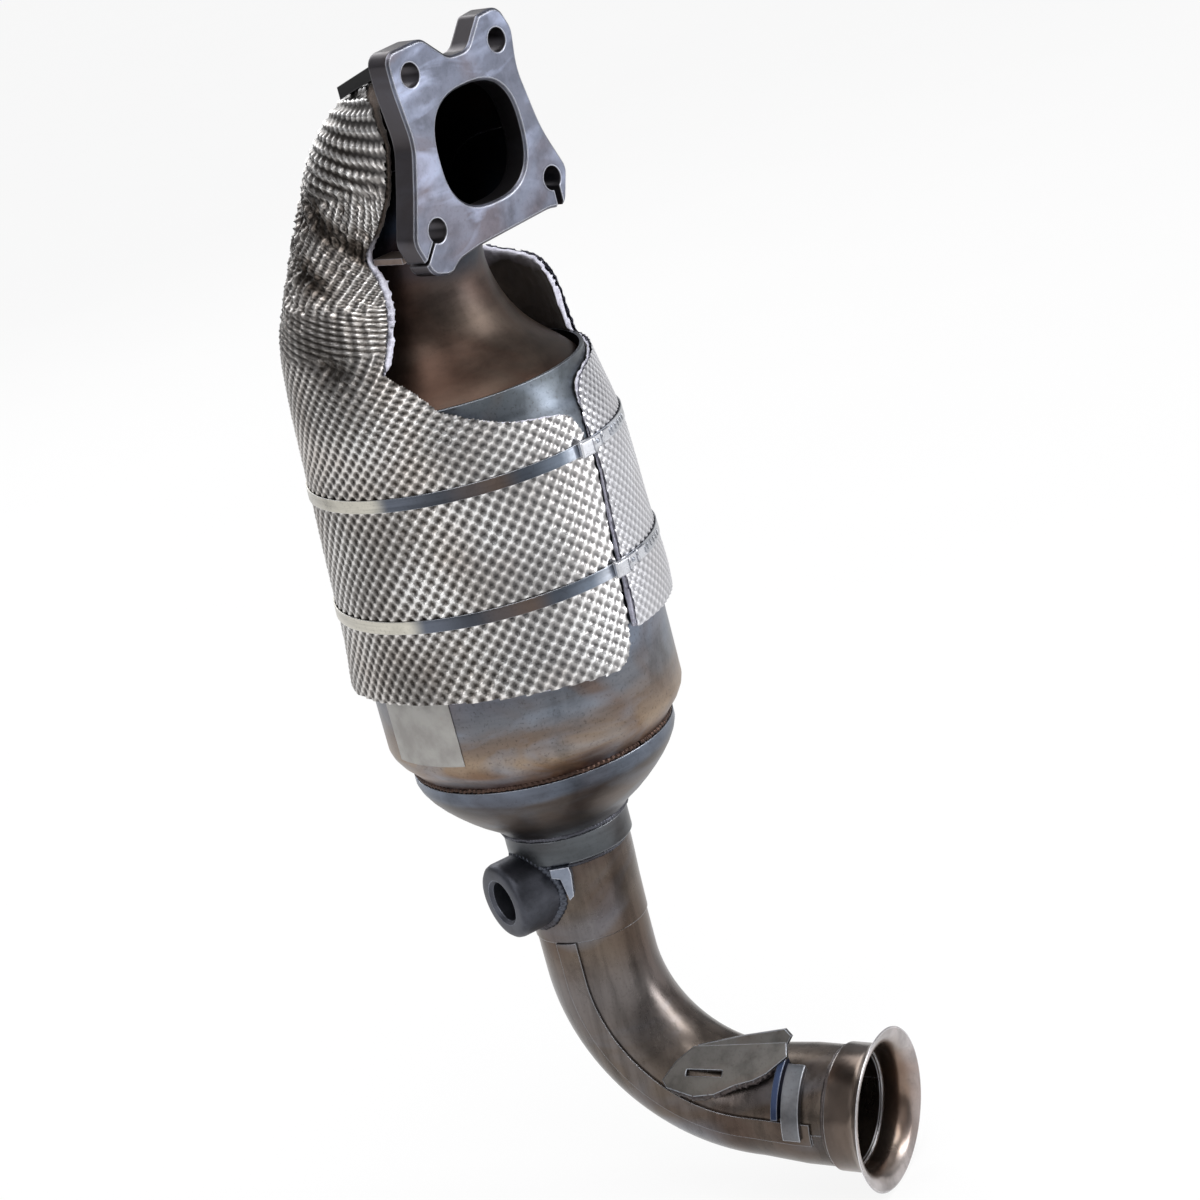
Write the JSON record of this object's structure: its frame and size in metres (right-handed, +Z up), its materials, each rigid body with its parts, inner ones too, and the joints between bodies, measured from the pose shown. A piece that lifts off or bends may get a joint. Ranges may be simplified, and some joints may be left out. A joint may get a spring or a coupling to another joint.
{
  "type": "catalytic converter",
  "caption": "Close-coupled catalytic converter with a flanged inlet elbow, a strapped heat shield, a sensor boss and a bent outlet pipe.",
  "frame": {"origin": "centre of the inlet port on the inlet flange's sealing face", "axes": "-Y out of the inlet flange's sealing face, +Z up the can's axis from the outlet end to the inlet end, +X to the right seen from in front of the flange"},
  "size_m": [0.1324, 0.1849, 0.4856],
  "materials": {
    "flange_steel": "machined, slightly blued",
    "elbow_steel": "dark, heat scaled",
    "can_steel": "rolled stainless with heat tint",
    "cone_steel": "pressed stainless with brown heat tint",
    "pipe_steel": "drawn stainless with heat tint",
    "boss_steel": "turned, dark",
    "flare_steel": "bright stainless",
    "bracket_steel": "stamped plate, blued",
    "strap_steel": "bright rolled stainless band",
    "shield_foil": "embossed foil",
    "shield_fibre": "white fibre felt",
    "brick_ceramic": "matt ceramic, in place of plastic",
    "mat_fibre": "matt fibre mat"
  },
  "bodies": {
    "root": {"inlet_flange": "flange_steel", "inlet_front_shell": "elbow_steel", "inlet_rear_shell": "elbow_steel", "can_shell": "can_steel", "catalyst_brick_upper": "brick_ceramic", "catalyst_brick_lower": "brick_ceramic", "support_mat_upper": "mat_fibre", "support_mat_lower": "mat_fibre", "outlet_cone": "cone_steel", "neck_collar": "can_steel", "downpipe_neck": "pipe_steel", "sensor_boss": "boss_steel", "boss_gusset": "flare_steel", "elbow_inner_shell": "pipe_steel", "elbow_outer_shell": "pipe_steel", "outlet_flare": "flare_steel", "bracket_plate": "bracket_steel", "bracket_leg": "bracket_steel", "bracket_tab": "bracket_steel", "shield_left_foil": "shield_foil", "shield_left_fibre": "shield_fibre", "shield_right_foil": "shield_foil", "shield_right_fibre": "shield_fibre", "upper_strap": "strap_steel", "lower_strap": "strap_steel", "upper_strap_buckle": "strap_steel", "lower_strap_buckle": "strap_steel", "shield_clip": "elbow_steel", "shield_top_bracket": "elbow_steel"}
  },
  "joints": []
}
